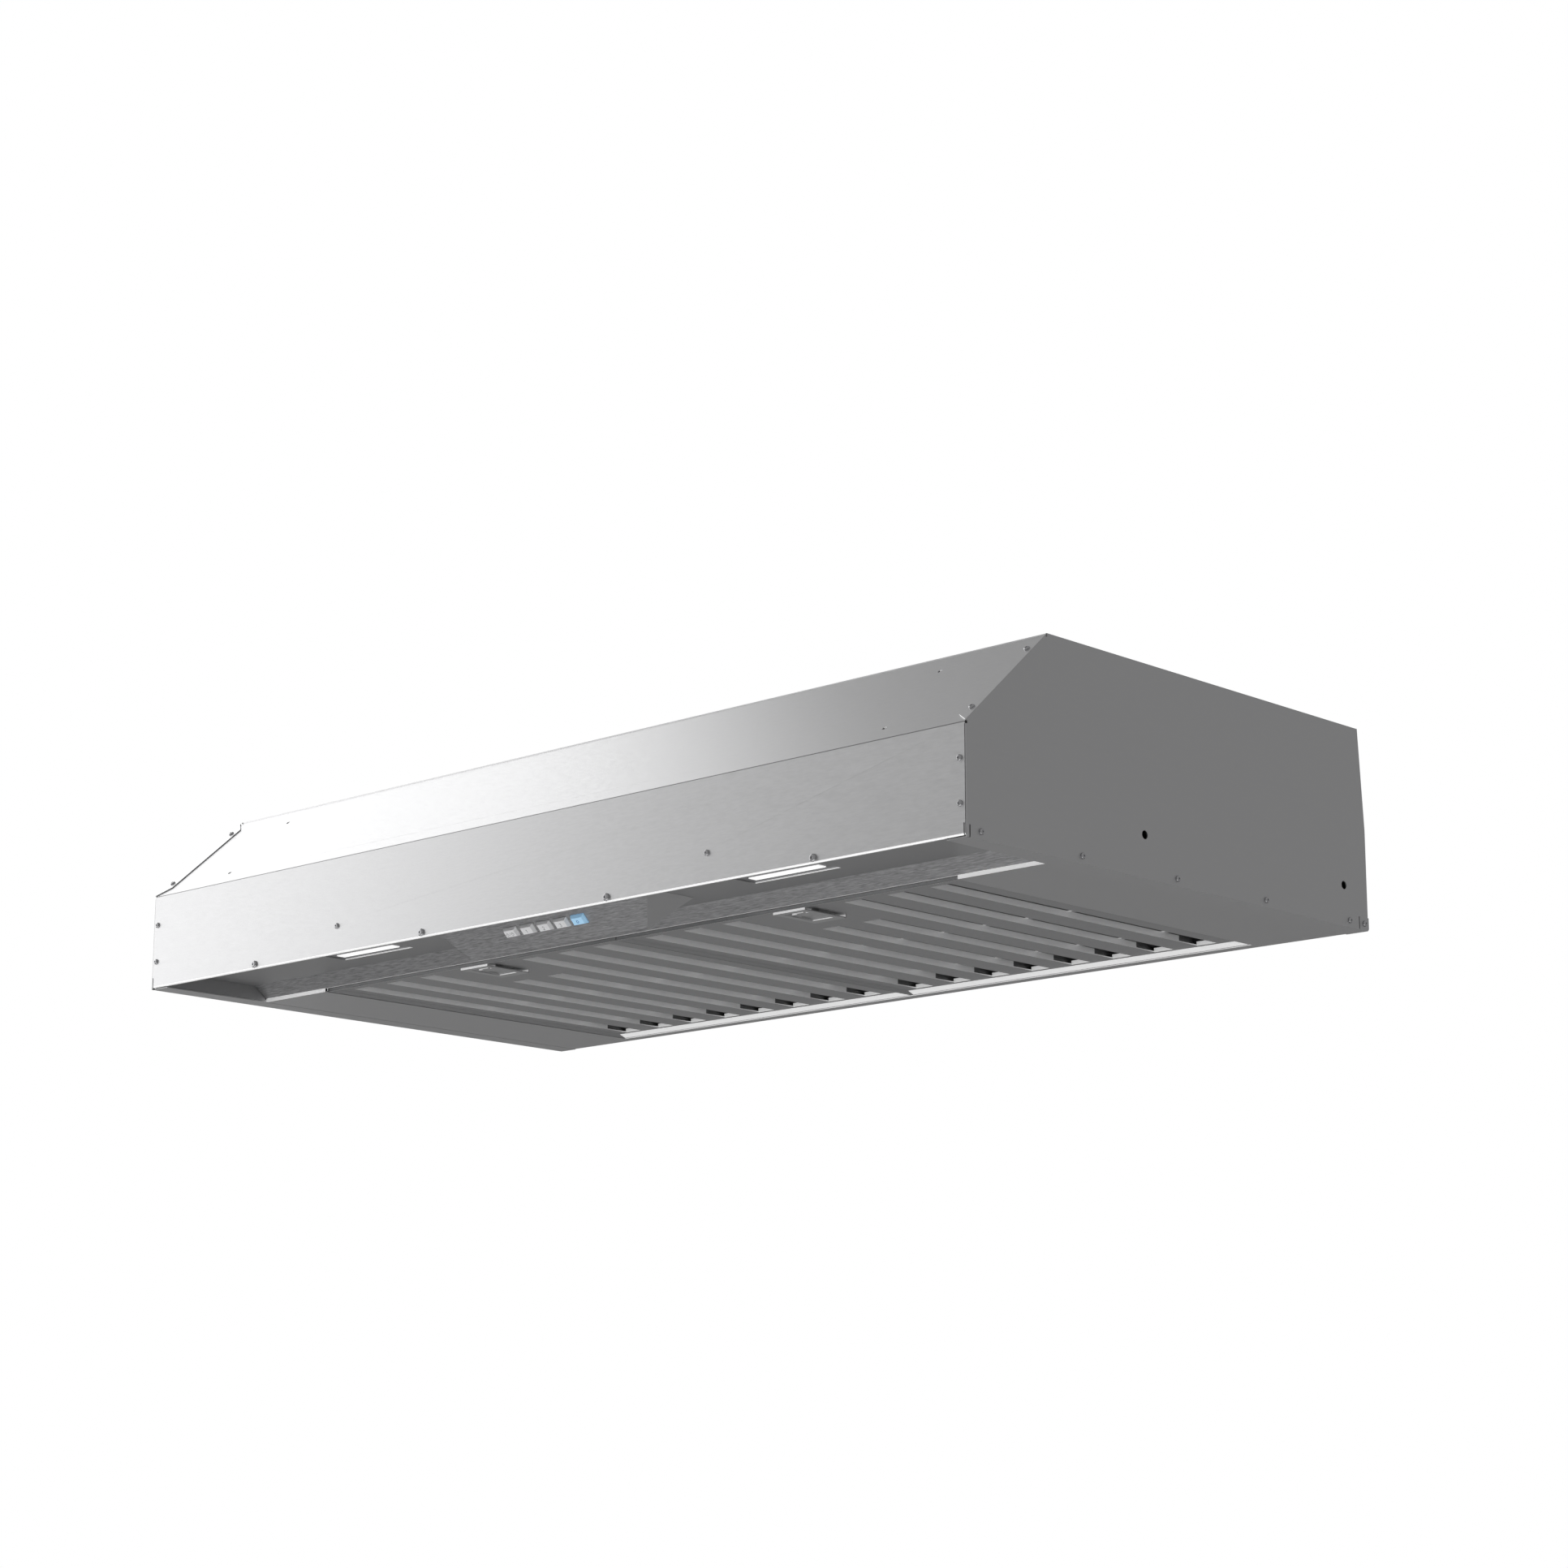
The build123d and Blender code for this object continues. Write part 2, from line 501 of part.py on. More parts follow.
def filter_face():
    """Dished face sheet with slots whose long edges are turned up."""
    half = FILTER_WIDTH / 2 - 1.1
    y0, y1 = FILTER_FRONT + 1.1, FILTER_BACK - 1.1
    face = box(FILTER_CENTRE_X - half, FILTER_CENTRE_X + half, y0, y1, FILTER_RIM_Z,
               FILTER_FACE_Z + FACE_SHEET)
    wide = rectangle_at(half - 0.4, y0 + 0.4, y1 - 0.4, FILTER_RIM_Z - 0.01)
    narrow = rectangle_at(half - DISH_SIDE, y0 + DISH_SIDE, y1 - DISH, FILTER_FACE_Z)
    face -= loft([wide, narrow])
    upper = box(FILTER_CENTRE_X - half - 1, FILTER_CENTRE_X + half + 1, y0 - 1, y1 + 1,
                FILTER_RIM_Z + FACE_SHEET, FILTER_FACE_Z + FACE_SHEET + 1)
    wide_top = rectangle_at(half - 0.4 + 0.2, y0 + 0.2, y1 - 0.2, FILTER_RIM_Z + FACE_SHEET - 0.01)
    narrow_top = rectangle_at(half - DISH_SIDE, y0 + DISH_SIDE, y1 - DISH,
                              FILTER_FACE_Z + FACE_SHEET)
    face -= upper - loft([wide_top, narrow_top])

    wall_top = FILTER_FACE_Z + SLOT_WALL
    for x, front, rear in slot_places():
        hem = SLOT_WIDTH / 2 + FACE_SHEET
        face += box(x - hem, x + hem, front, rear - SLOT_WALL_END, FILTER_FACE_Z, wall_top)
        face += box(x - hem, x + hem, rear, rear + FACE_SHEET, FILTER_FACE_Z, FILTER_FACE_Z + 3.4)
        face -= box(x - SLOT_WIDTH / 2, x + SLOT_WIDTH / 2, front, rear, 0, wall_top + 1)
        for y in TIE_PLACES:
            face += box(x - 13.2, x + 13.2, y - 2.5, y + 2.5, wall_top, wall_top + FACE_SHEET)
    face += box(LATCH_X - 4, LATCH_X + 4, 159.5, 160.5, FILTER_FACE_Z, 11.5)
    face += rod((LATCH_X, 160, 8.9), FRONT, 1.8, 18.0)
    return face - box(LATCH_X - 7, LATCH_X + 7, 124, 143, 0, 6)


def filter_baffles():
    """Upturned channels above the slots, and the cross bars that tie them together."""
    made = []
    top = FILTER_TOP_Z - SHEET - GAP
    leg = FILTER_FACE_Z + FACE_SHEET + 1.7
    y0, y1 = FILTER_FRONT + 3.0, FILTER_BACK - 3.0
    for x, front, _ in slot_places():
        half = SLOT_WIDTH / 2 + 5.4
        start = max(y0, front - 10)
        channel = xz_prism([(x - half, leg), (x - half, top - 2.5), (x - half + 2.5, top),
                            (x + half - 2.5, top), (x + half, top - 2.5), (x + half, leg),
                            (x + half - FACE_SHEET, leg), (x + half - FACE_SHEET, top - 2.9),
                            (x + half - 2.9, top - FACE_SHEET), (x - half + 2.9, top - FACE_SHEET),
                            (x - half + FACE_SHEET, top - 2.9), (x - half + FACE_SHEET, leg)],
                           start, y1)
        made.append(channel)
    return made


def filter_frame():
    """Perimeter frame: upright wall with a lip over the baffles, and two rear tabs."""
    half = FILTER_WIDTH / 2
    x0, x1 = FILTER_CENTRE_X - half, FILTER_CENTRE_X + half
    outer = box(x0, x1, FILTER_FRONT, FILTER_BACK, FILTER_RIM_Z, FILTER_TOP_Z)
    inner = box(x0 + SHEET, x1 - SHEET, FILTER_FRONT + SHEET, FILTER_BACK - SHEET,
                FILTER_RIM_Z - 1, FILTER_TOP_Z - SHEET)
    mouth = box(x0 + 9, x1 - 9, FILTER_FRONT + 9, FILTER_BACK - 9, FILTER_RIM_Z, FILTER_TOP_Z + 1)
    frame = outer - inner - mouth
    for s in (-1, 1):
        x = FILTER_CENTRE_X + s * 110
        frame += box(x - 10, x + 10, FILTER_BACK - SHEET, FILTER_BACK + 6.5, 1.2, 2.2)
    window = box(LATCH_X - 8, LATCH_X + 8, FILTER_FRONT - 1, FILTER_FRONT + 2, 6.5, 10.5)
    return frame - window


def latch_housing():
    """Raised bridge under the face sheet, closed at the front and rear, with a finger pocket."""
    half = LATCH_SIZE[0] / 2
    x0, x1 = LATCH_X - half, LATCH_X + half
    y0, y1 = LATCH_FRONT, LATCH_FRONT + LATCH_SIZE[1]
    top = FILTER_FACE_Z - 0.02
    bottom = top - LATCH_DROP
    bridge = box(x0, x1, y0, y1, bottom, top)
    bridge -= box(x0 - 1, x1 + 1, y0 + FACE_SHEET, y1 - FACE_SHEET, bottom + FACE_SHEET, top + 1)
    pocket_x0, pocket_x1 = LATCH_X - POCKET_HALF, LATCH_X + POCKET_HALF
    return bridge - box(pocket_x0, pocket_x1, *POCKET_Y, bottom - 1, bottom + 2)


def latch_slider():
    """Plate with a wedge for the finger, a stem through the face and the tongue above it."""
    x0, x1 = LATCH_X - POCKET_HALF + 0.4, LATCH_X + POCKET_HALF - 0.4
    z0 = FILTER_FACE_Z - LATCH_DROP + FACE_SHEET + 0.13
    z1 = FILTER_FACE_Z - 0.12
    plate = box(x0, x1, 129.5, 147.0, z1 - 0.9, z1)
    front = box(x0, x1, 129.5, 138.0, z0, z1)
    wedge = yz_prism([(144.0, z1 - 0.1), (151.9, z0), (151.9, z1 - 0.1)], x0, x1)
    stem = box(LATCH_X - 4, LATCH_X + 4, 127, 134, z0, 9.5)
    tongue = box(LATCH_X - 6, LATCH_X + 6, 109.6, 134, 7.5, 9.5)
    return plate + front + wedge + stem + tongue


def latch_spring():
    """Return spring between the slider's stem and the rear of the frame, wound about y."""
    turns, radius, wire = 7, 2.6, 0.45
    coil = Helix(pitch=16.0 / turns, height=16.0, radius=radius)
    section = Plane(origin=coil @ 0, z_dir=coil % 0) * Circle(wire)
    spring = sweep(section, path=coil)
    plane = Plane(origin=(LATCH_X, 134.2 + wire, 8.9), z_dir=(0, 1, 0))
    return plane * spring


def to_left(shape):
    """The right-hand filter's piece, carried to the left-hand filter."""
    return Pos(-2 * FILTER_CENTRE_X, 0, 0) * shape


# ---- blower -------------------------------------------------------------------------------
def scroll_radius(angle):
    share = (angle - TONGUE_ANGLE) / (360.0 - TONGUE_ANGLE)
    return SCROLL_START + (SCROLL_END - SCROLL_START) * share


def scroll_point(angle, grow=0.0):
    a = math.radians(angle)
    r = scroll_radius(angle) + grow
    return (BLOWER_Y + r * math.cos(a), BLOWER_Z + r * math.sin(a))


def scroll_spiral(grow):
    """The growing spiral in (y, z), from the tongue to the start of the throat's rear wall."""
    steps = 10
    angles = [TONGUE_ANGLE + (360.0 - TONGUE_ANGLE) * i / steps for i in range(steps + 1)]
    return Spline(*[scroll_point(a, grow) for a in angles], tangents=((-1, 0.12), (0, 1)))


SCROLL_TOP = HEIGHT - SHEET - 0.2
THROAT_FRONT = (BLOWER_Y + SCROLL_END - THROAT, SCROLL_TOP)
THROAT_REAR = (BLOWER_Y + SCROLL_END, SCROLL_TOP)


def along_x(face, x0, x1):
    plane = Plane(origin=(x0, 0, 0), x_dir=(0, 1, 0), z_dir=(1, 0, 0))
    return extrude(plane * face, amount=x1 - x0)


def scroll_wall(x0, x1):
    """The wrapped sheet: spiral, rear wall of the throat and its sloping front wall."""
    inner, outer = scroll_spiral(0), scroll_spiral(SHEET)
    ends = [Line(inner @ t, outer @ t) for t in (0, 1)]
    wrapped = make_face(inner.edges() + outer.edges() + ends[0].edges() + ends[1].edges())
    wall = along_x(wrapped, x0, x1)
    rear_y, top = THROAT_REAR
    wall += box(x0, x1, rear_y, rear_y + SHEET, BLOWER_Z, top)
    front = [scroll_point(TONGUE_ANGLE), THROAT_FRONT]
    return wall + yz_prism(front + beside(front, SHEET)[::-1], x0, x1)


def scroll_plate(x0, x1):
    """A flat plate as large as the wrapped sheet's outside."""
    spiral = scroll_spiral(SHEET)
    rear = (THROAT_REAR[0] + SHEET, SCROLL_TOP)
    front = (THROAT_FRONT[0] - SHEET, SCROLL_TOP)
    throat = Polyline(spiral @ 1, rear, front, spiral @ 0)
    return along_x(make_face(spiral.edges() + throat.edges()), x0, x1)


def blower_scroll():
    """The wrapped wall of the scroll and its throat, open at both ends and on top."""
    reach = SCROLL_HALF - SHEET - GAP
    return scroll_wall(-reach, reach)


def blower_side_right():
    """End plate of the scroll with its rounded inlet ring."""
    x0, x1 = SCROLL_HALF - SHEET, SCROLL_HALF
    plate = scroll_plate(x0, x1)
    ring = rod((x0, BLOWER_Y, BLOWER_Z), RIGHT, 48.0, 7.0)
    ring = fillet(ring.edges().sort_by(Axis.X)[-1], 3.5)
    plate = plate + ring
    return plate - rod((x0 - 1, BLOWER_Y, BLOWER_Z), RIGHT, 42.5, 12.0)


def impeller_right():
    """Forward-curved centrifugal wheel: hub, back plate, blades and front ring."""
    x0, x1 = WHEEL_FAR - WHEEL_WIDTH, WHEEL_FAR
    hub = rod((x0 - 4, BLOWER_Y, BLOWER_Z), RIGHT, 9.0, 16.0)
    plate = rod((x0, BLOWER_Y, BLOWER_Z), RIGHT, WHEEL_R, 1.5)
    ring = rod((x1 - 2.5, BLOWER_Y, BLOWER_Z), RIGHT, WHEEL_R, 2.5)
    ring -= rod((x1 - 4, BLOWER_Y, BLOWER_Z), RIGHT, 41.5, 6)
    blade_arc = ThreePointArc((40.5, 0), (46.0, 1.0), (WHEEL_R - 0.6, 5.0))
    blade_back = ThreePointArc((40.5, 1.0), (45.8, 2.1), (WHEEL_R - 1.0, 6.0))
    ends = Line((40.5, 0), (40.5, 1.0)), Line((WHEEL_R - 0.6, 5.0), (WHEEL_R - 1.0, 6.0))
    blade = make_face(blade_arc.edges() + blade_back.edges() + ends[0].edges() + ends[1].edges())
    blades = [Rot(0, 0, 360.0 * i / BLADES) * blade for i in range(BLADES)]
    plane = Plane(origin=(x0 + 0.5, BLOWER_Y, BLOWER_Z), x_dir=(0, 1, 0), z_dir=(1, 0, 0))
    wheel = hub + plate + ring
    wheel += [extrude(plane * b, amount=WHEEL_WIDTH - 1.0) for b in blades]
    return wheel - rod((x0 - 10, BLOWER_Y, BLOWER_Z), RIGHT, SHAFT_R + 0.02, 40)


def motor_shaft():
    """Through shaft with both ends standing out of the motor."""
    reach = WHEEL_FAR - WHEEL_WIDTH + 16.0
    return rod((-reach, BLOWER_Y, BLOWER_Z), RIGHT, SHAFT_R, 2 * reach)


def motor_body():
    """Motor can with two end bells and cooling slots."""
    can = rod((-36, BLOWER_Y, BLOWER_Z), RIGHT, 34.0, 72.0)
    bell = rod((36, BLOWER_Y, BLOWER_Z), RIGHT, 30.0, 12.0)
    bell = fillet(bell.edges().sort_by(Axis.X)[-1], 5.0)
    boss = rod((48, BLOWER_Y, BLOWER_Z), RIGHT, 12.0, 4.0)
    body = can + bell + boss + mirror_x(bell) + mirror_x(boss)
    for i in range(12):
        a = math.radians(30.0 * i)
        centre = (40, BLOWER_Y + 22 * math.cos(a), BLOWER_Z + 22 * math.sin(a))
        body -= rod(centre, RIGHT, 2.6, 20)
        body -= rod((-centre[0], centre[1], centre[2]), LEFT, 2.6, 20)
    body -= rod((-60, BLOWER_Y, BLOWER_Z), RIGHT, SHAFT_R + 0.6, 120)
    for x0 in (-52.5, 47.5):
        body -= rod((x0, BLOWER_Y, BLOWER_Z), RIGHT, 8.0, 5.0)
    return body


def motor_bearings():
    """Two sleeve bearings in the end bells."""
    made = []
    for x0 in (-52.0, 48.0):
        sleeve = rod((x0, BLOWER_Y, BLOWER_Z), RIGHT, 7.95, 4.0)
        made.append(sleeve - rod((x0 - 1, BLOWER_Y, BLOWER_Z), RIGHT, SHAFT_R + RUNNING, 6.0))
    return made


def motor_bracket():
    """Clamp ring round the motor with three arms to the scroll wall."""
    bracket = rod((-12, BLOWER_Y, BLOWER_Z), RIGHT, 37.0, 24.0)
    for angle in (125.0, 215.0, 305.0):
        reach = scroll_radius(angle) - 1.2
        arm = Box(24.0, 6.0, reach - 35.0, align=(Align.CENTER, Align.CENTER, Align.MIN))
        a = math.radians(angle)
        out = (0, math.cos(a), math.sin(a))
        start = (0, BLOWER_Y + 35.0 * out[1], BLOWER_Z + 35.0 * out[2])
        bracket += Plane(origin=start, x_dir=(1, 0, 0), z_dir=out) * arm
    return bracket - rod((-20, BLOWER_Y, BLOWER_Z), RIGHT, 34.05, 40.0)


# ---- duct collar and back-draught damper ----------------------------------------------------
DAMPER_Z = COLLAR_RIM_Z + 3.0


def duct_collar():
    """Rectangular collar with its screw flange and a stop ledge inside."""
    x, y = DUCT_SIZE[0] / 2, DUCT_SIZE[1] / 2
    z0 = HEIGHT + GAP
    collar = box(-x, x, DUCT_Y - y, DUCT_Y + y, z0, z0 + DUCT_HEIGHT)
    collar += box(-x - 12, x + 12, DUCT_Y - y - 12, DUCT_Y + y + 12, z0, z0 + SHEET)
    collar -= box(-x + SHEET, x - SHEET, DUCT_Y - y + SHEET, DUCT_Y + y - SHEET, z0 - 1,
                  z0 + DUCT_HEIGHT + 1)
    ledge = box(-x + SHEET, x - SHEET, DUCT_Y - y + SHEET, DUCT_Y + y - SHEET, z0, z0 + SHEET)
    ledge -= box(-x + 4, x - 4, DUCT_Y - y + 4, DUCT_Y + y - 4, z0 - 1, z0 + 3)
    collar += ledge
    for s in (-1, 1):
        pin_hole = rod((s * (x - 3), DUCT_Y, DAMPER_Z), (s, 0, 0), 1.55, 6)
        collar -= pin_hole
    return drill(collar, COLLAR_SCREWS, SMALL_SHANK_R)


def damper_pin():
    """Hinge pin across the collar, shared by both flaps."""
    reach = DUCT_SIZE[0] / 2 + 1.5
    return rod((-reach, DUCT_Y, DAMPER_Z), RIGHT, 1.5, 2 * reach)


def damper_flap(side):
    """Half-width flap with knuckles on the pin; side is -1 in front of the pin, 1 behind it."""
    half_x = DUCT_SIZE[0] / 2 - SHEET - 1.2
    reach = DUCT_SIZE[1] / 2 - SHEET - 1.0
    z0 = COLLAR_RIM_Z + 0.15
    near, far = sorted((side * 3.2, side * reach))
    flap = box(-half_x, half_x, DUCT_Y + near, DUCT_Y + far, z0, z0 + FACE_SHEET)
    for i in range(-2, 3):
        x = i * 46.0 + side * 9.0
        knuckle = rod((x - 6, DUCT_Y, DAMPER_Z), RIGHT, 2.6, 12.0)
        web_y = sorted((0.0, side * 4.4))
        knuckle += box(x - 6, x + 6, DUCT_Y + web_y[0], DUCT_Y + web_y[1], z0, DAMPER_Z)
        flap += knuckle
    return flap - rod((-half_x - 5, DUCT_Y, DAMPER_Z), RIGHT, 1.5 + RUNNING, 2 * half_x + 10)


# ---- electrical ---------------------------------------------------------------------------
BOX_X = (300.0, 420.0)
BOX_Y = (385.0, 452.0)
BOX_Z = (104.0, HEIGHT - 2 * SHEET - 0.3)


def wiring_box():
    """Junction box under the cable knock-out, open at its front."""
    shell = box(*BOX_X, *BOX_Y, *BOX_Z)
    shell -= box(BOX_X[0] + SHEET, BOX_X[1] - SHEET, BOX_Y[0] - 1, BOX_Y[1] - SHEET,
                 BOX_Z[0] + SHEET, BOX_Z[1] - SHEET)
    return shell - rod((CABLE_X, CABLE_Y, BOX_Z[1] - 4), UP, 11.1, 8)


def wiring_cover():
    """Cover over the junction box's open front."""
    y1 = BOX_Y[0] - GAP
    cover = box(BOX_X[0] - 2, BOX_X[1] + 2, y1 - SHEET, y1, BOX_Z[0] - 2, BOX_Z[1])
    cover += box(BOX_X[0] - 2, BOX_X[1] + 2, y1 - SHEET, y1 + 14, BOX_Z[0] - 2, BOX_Z[0] - 1)
    return cover


def cable_bushing():
    """Strain-relief bushing in the knock-out: flange above the sheet, body through it."""
    body = rod((CABLE_X, CABLE_Y, HEIGHT - 8), UP, 11.0, 8.05)
    flange = rod((CABLE_X, CABLE_Y, HEIGHT + 0.05), UP, 14.0, 2.6)
    flange = fillet(flange.edges().sort_by(Axis.Z)[-1], 1.0)
    return body + flange - rod((CABLE_X, CABLE_Y, HEIGHT - 10), UP, CABLE_BORE_R, 20)


def capacitor():
    """Motor run capacitor standing on the scroll's side of the top panel."""
    can = rod((-200, 300, 100), LEFT, 17.5, 52.0)
    can = fillet(can.edges().sort_by(Axis.X)[0], 3.0)
    terminals = [rod((-199.9, 300 + s * 6, 100), RIGHT, 1.5, 7.0) for s in (-1, 1)]
    return can + terminals[0] + terminals[1]


def capacitor_strap():
    """Strap that hangs the capacitor from the top panel."""
    top = HEIGHT - SHEET - GAP
    strap = rod((-232, 300, 100), RIGHT, 18.6, 14.0) + box(-232, -218, 296, 304, 117, top)
    strap += box(-232, -218, 286, 314, top - SHEET, top)
    return strap - rod((-240, 300, 100), RIGHT, 17.55, 30.0)


def led_driver():
    """Lamp power supply, a ribbed plastic case hung from the top panel."""
    top = HEIGHT - SHEET - GAP
    case = box(-400, -300, 400, 440, top - 26, top - 2)
    case = fillet(case.edges().filter_by(Axis.Z), 3.0)
    ears = box(-412, -288, 408, 432, top - 4, top)
    ribs = [box(-390 + 16 * i, -386 + 16 * i, 403, 437, top - 27.2, top - 25) for i in range(6)]
    case += ears
    for rib in ribs:
        case += rib
    return case


def speed_board():
    """Speed control board with its relays, on four posts under the top panel."""
    top = HEIGHT - SHEET - GAP
    board = box(190, 280, 390, 450, top - 10, top - 8.4)
    for x in (195, 275):
        for y in (395, 445):
            board += rod((x, y, top - 9), UP, 2.5, 9)
    for i in range(4):
        board += box(200 + 19 * i, 214 + 19 * i, 405, 425, top - 24, top - 9)
    return board


def front_brace(side):
    """Angle brace behind the front face, which the small face screws hold."""
    x = side * 209.3
    y0 = SHEET + GAP
    z0 = CHANNEL_Z + SHEET + GAP
    brace = box(x - 9, x + 9, y0, y0 + SHEET, z0, 74)
    brace += box(x - 9, x + 9, y0, 15.5, z0, z0 + SHEET)
    return drill(brace, BRACE_SCREWS, SMALL_SHANK_R)


# ---- build and export ---------------------------------------------------------------------
def placed(shapes):
    """Everything moved to the part's own origin; a list becomes one group of solids."""
    origin = Pos(0, -MOUNT_CENTRE_Y, -HEIGHT)
    if not isinstance(shapes, list):
        return origin * shapes
    solids = [solid for shape in shapes for solid in (origin * shape).solids()]
    return Compound(children=solids)


def build_parts():
    side = side_panel_right()
    parts = {
        "side_panel_right": side,
        "side_panel_left": mirror_x(side),
        "front_panel": front_panel(),
        "top_panel": top_panel(),
        "rear_panel": rear_panel(),
        "bottom_pan": bottom_pan(),
        "light_channel": light_channel(),
        "channel_ends": channel_ends(),
        "front_rail": front_rail(),
        "front_braces": [front_brace(-1), front_brace(1)],
        "control_housing": control_housing(),
        "switch_board": switch_board(),
        "switches": switches(),
        "blower_scroll": blower_scroll(),
        "motor_shaft": motor_shaft(),
        "motor_body": motor_body(),
        "motor_bearings": motor_bearings(),
        "motor_bracket": motor_bracket(),
        "duct_collar": duct_collar(),
        "damper_pin": damper_pin(),
        "damper_flap_front": damper_flap(-1),
        "damper_flap_rear": damper_flap(1),
        "wiring_box": wiring_box(),
        "wiring_cover": wiring_cover(),
        "cable_bushing": cable_bushing(),
        "capacitor": capacitor(),
        "capacitor_strap": capacitor_strap(),
        "led_driver": led_driver(),
        "speed_board": speed_board(),
    }
    for name, x in (("left", -LAMP_X), ("right", LAMP_X)):
        parts["lamp_body_" + name] = lamp_body(x)
        parts["lamp_lens_" + name] = lamp_lens(x)
    for index, name in enumerate(BUTTON_NAMES):
        parts[name] = button(index)
    for name, make in (("blower_side", blower_side_right), ("impeller", impeller_right)):
        shape = make()
        parts[name + "_right"] = shape
        parts[name + "_left"] = mirror_x(shape)
    for name, make in (("filter_face", filter_face), ("filter_baffles", filter_baffles),
                       ("filter_frame", filter_frame), ("latch_housing", latch_housing),
                       ("latch_slider", latch_slider), ("latch_spring", latch_spring)):
        shape = make()
        parts[name + "_right"] = shape
        if isinstance(shape, list):
            parts[name + "_left"] = [to_left(s) for s in shape]
        else:
            parts[name + "_left"] = to_left(shape)
    small = (SMALL_HEAD_R, SMALL_HEAD_H, SMALL_SHANK_R)
    parts["front_screws"] = screws(EDGE_SCREWS + BRACE_SCREWS, *small)
    parts["channel_screws"] = screws(CHANNEL_SCREWS, LARGE_HEAD_R, LARGE_HEAD_H, LARGE_SHANK_R)
    parts["side_screws"] = screws(SIDE_SCREWS, *small)
    parts["slope_screws"] = screws(SLOPE_SCREWS, *small)
    parts["case_screws"] = screws(TOP_SCREWS + REAR_SCREWS, *small)
    parts["collar_screws"] = screws(COLLAR_SCREWS, *small)
    return parts


os.makedirs("parts", exist_ok=True)
for node, shapes in build_parts().items():
    export_step(placed(shapes), os.path.join("parts", node + ".step"))
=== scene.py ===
import math

import bpy
from mathutils import Matrix, Vector


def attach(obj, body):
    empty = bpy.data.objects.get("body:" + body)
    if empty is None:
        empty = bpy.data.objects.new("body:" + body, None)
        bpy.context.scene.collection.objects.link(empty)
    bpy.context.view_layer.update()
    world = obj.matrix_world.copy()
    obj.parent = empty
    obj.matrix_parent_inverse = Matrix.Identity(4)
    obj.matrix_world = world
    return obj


# Looks of the under cabinet range hood. Metres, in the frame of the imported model: the origin is
# the centre of the mounting holes on top, +X to the right, +Y to the back and +Z up.

MM = 0.001
CAMERA_LENS = 79.0
CAMERA_PLACE = (1.9248, -2.008, -0.649)
CAMERA_TURN = (103.049, -0.121, 43.463)           # degrees, as Euler angles
ROOM_LIGHT = 0.42                                 # strength of the grey light from all round
FLOOR_LEVEL = -3.0
FLOOR_REACH = 12.0
FLOOR_COLOR = (0.6, 0.6, 0.6)
EDGE_WIDTH = 0.3 * MM                             # softened edges that catch the light
EDGE_ANGLE = 35                                   # degrees, the least turn that counts as an edge
NUMERAL_LINE = 0.34                               # millimetres, like all measures of the marks
NUMERAL_DROP = 0.7
SLOPE_OUT = Vector((0, -1, -1)).normalized()      # outward from the control housing's front
SLOPE_UP = Vector((0, -1, 1)).normalized()

# name, place, point it faces, size and watts
LIGHTS = (
    ("softbox", (-1.6, -0.45, 0.75), (0.0, -0.45, 0.75), (2.5, 2.1), 24),
    ("floor_wash", (0.0, -2.4, -1.6), (0.0, -2.4, FLOOR_LEVEL), (5.0, 4.0), 160),
)


# ---- camera, world and light --------------------------------------------------------------
def make_camera():
    data = bpy.data.cameras.new("camera")
    data.lens = CAMERA_LENS
    data.sensor_width = 36.0
    data.clip_end = 50.0
    camera = bpy.data.objects.new("camera", data)
    camera.location = CAMERA_PLACE
    camera.rotation_euler = [math.radians(a) for a in CAMERA_TURN]
    bpy.context.scene.collection.objects.link(camera)
    bpy.context.scene.camera = camera


def make_world():
    """White behind the object, and an even grey that lights it from all round."""
    world = bpy.data.worlds.new("studio")
    bpy.context.scene.world = world
    world.use_nodes = True
    nodes, links = world.node_tree.nodes, world.node_tree.links
    nodes.clear()
    lit = nodes.new("ShaderNodeBackground")
    lit.inputs["Color"].default_value = (1, 1, 1, 1)
    lit.inputs["Strength"].default_value = ROOM_LIGHT
    plain = nodes.new("ShaderNodeBackground")
    plain.inputs["Color"].default_value = (1, 1, 1, 1)
    plain.inputs["Strength"].default_value = 1.0
    seen = nodes.new("ShaderNodeLightPath")
    mix = nodes.new("ShaderNodeMixShader")
    links.new(seen.outputs["Is Camera Ray"], mix.inputs["Fac"])
    links.new(lit.outputs["Background"], mix.inputs[1])
    links.new(plain.outputs["Background"], mix.inputs[2])
    out = nodes.new("ShaderNodeOutputWorld")
    links.new(mix.outputs["Shader"], out.inputs["Surface"])


def make_light(name, place, target, size, power):
    data = bpy.data.lights.new(name, "AREA")
    data.shape = "RECTANGLE"
    data.size, data.size_y = size
    data.energy = power
    light = bpy.data.objects.new(name, data)
    light.location = place
    aim = Vector(target) - Vector(place)
    light.rotation_euler = aim.to_track_quat("-Z", "Y").to_euler()
    bpy.context.scene.collection.objects.link(light)


# ---- materials ----------------------------------------------------------------------------
def new_material(name, color, metallic, roughness):
    """A Principled material and its nodes, ready for detail to be linked in."""
    material = bpy.data.materials.new(name)
    material.use_nodes = True
    shader = material.node_tree.nodes["Principled BSDF"]
    shader.inputs["Base Color"].default_value = (*color, 1)
    shader.inputs["Metallic"].default_value = metallic
    shader.inputs["Roughness"].default_value = roughness
    return material, shader


